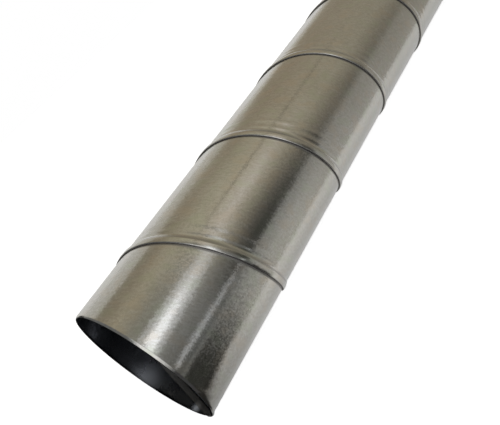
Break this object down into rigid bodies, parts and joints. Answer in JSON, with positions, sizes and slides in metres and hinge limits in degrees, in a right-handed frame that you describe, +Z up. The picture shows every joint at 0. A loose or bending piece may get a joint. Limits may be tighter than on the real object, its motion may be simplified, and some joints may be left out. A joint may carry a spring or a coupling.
{
  "type": "spiral duct section",
  "caption": "Round ventilation duct of galvanised sheet strip, wound in a spiral with a raised four-ply lock seam, open at both square-cut ends.",
  "frame": {"origin": "on the floor under the middle of the lying duct", "axes": "+X along the duct from its near end to its far end, +Z up"},
  "size_m": [1, 0.129, 0.129],
  "materials": {
    "galvanised_sheet": "satin"
  },
  "bodies": {
    "root": {"spiral_duct": "galvanised_sheet"}
  },
  "joints": []
}
